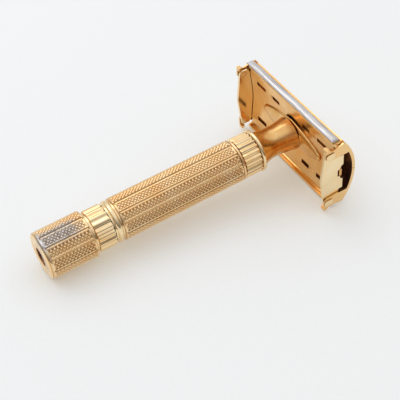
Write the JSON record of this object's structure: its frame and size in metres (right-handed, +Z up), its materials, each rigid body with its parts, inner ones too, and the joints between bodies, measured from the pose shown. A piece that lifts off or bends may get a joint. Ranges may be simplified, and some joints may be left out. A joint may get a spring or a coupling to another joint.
{
  "type": "double-edge safety razor",
  "caption": "Twist-to-open safety razor: knurled handle, turning knob and a wide head whose two curved doors swing open over the blade bed as the knob lifts the carriage.",
  "frame": {"origin": "centre of the razor's bounding box on the surface that it lies on", "axes": "+X along the razor from the knob towards the head, +Z up from the surface that it lies on, +Y along the head. The handle axis rises 4.6 degrees towards the head, because the razor rests on the knob's rim and the lower guard bar"},
  "size_m": [0.0851, 0.043, 0.0258],
  "materials": {
    "gold_knurled": "gold plate over diamond-knurled brass, satin from handling, silver-grey where the plate has worn off",
    "gold_fluted": "polished gold plate on straight flutes",
    "gold_polished": "polished gold plate",
    "gold_bright": "bright pale gold plate",
    "gold_worn": "gold plate worn to silver-grey on the outer edges, with fine lengthwise scratches",
    "plain_brass": "machined",
    "bare_copper_alloy": "turned, tarnished to a copper brown",
    "spring_steel": "brushed"
  },
  "bodies": {
    "handle": {"barrel": "gold_knurled", "bearing_ring": "gold_bright", "thrust_washer": "spring_steel", "fluted_collar": "gold_fluted", "bright_ring": "gold_bright", "neck": "gold_polished", "rod_guide": "plain_brass", "spine": "gold_polished", "guard_plate": "gold_worn", "floor_tab_1": "gold_polished", "floor_tab_2": "gold_polished", "floor_tab_3": "gold_polished", "floor_tab_4": "gold_polished"},
    "turning_knob": {"knob": "gold_knurled", "knob_sleeve": "gold_fluted", "drive_nut": "plain_brass", "retaining_ring": "spring_steel"},
    "carriage": {"draw_rod": "bare_copper_alloy", "blade_platform": "gold_polished", "blade_rail": "gold_polished", "near_end_plate": "gold_bright", "far_end_plate": "gold_bright", "upper_near_pin": "gold_bright", "lower_near_pin": "gold_bright", "upper_far_pin": "gold_bright", "lower_far_pin": "gold_bright"},
    "door_upper": {"upper_door": "gold_worn"},
    "door_lower": {"lower_door": "gold_worn"}
  },
  "joints": [
    {"name": "knob_turn", "type": "hinge", "parent": "handle", "child": "turning_knob", "pos_m": [-0.03512, 0, 0.00712], "axis": [0.9968, 0, 0.0804], "range_deg": [0, 540]},
    {"name": "rod_lift", "type": "slide", "parent": "handle", "child": "carriage", "axis": [0.9968, 0, 0.0804], "range_m": [0, 0.0043]},
    {"name": "upper_door_swing", "type": "hinge", "parent": "carriage", "child": "door_upper", "pos_m": [0.03324, 0, 0.02159], "axis": [0, -1, 0], "range_deg": [0, 90]},
    {"name": "lower_door_swing", "type": "hinge", "parent": "carriage", "child": "door_lower", "pos_m": [0.03468, 0, 0.00379], "axis": [0, 1, 0], "range_deg": [0, 90]}
  ],
  "couplings": [
    {"joint": "knob_turn", "follows": "rod_lift", "rad_per_m": 2191.8},
    {"joint": "upper_door_swing", "follows": "rod_lift", "rad_per_m": 365.3},
    {"joint": "lower_door_swing", "follows": "rod_lift", "rad_per_m": 365.3}
  ]
}
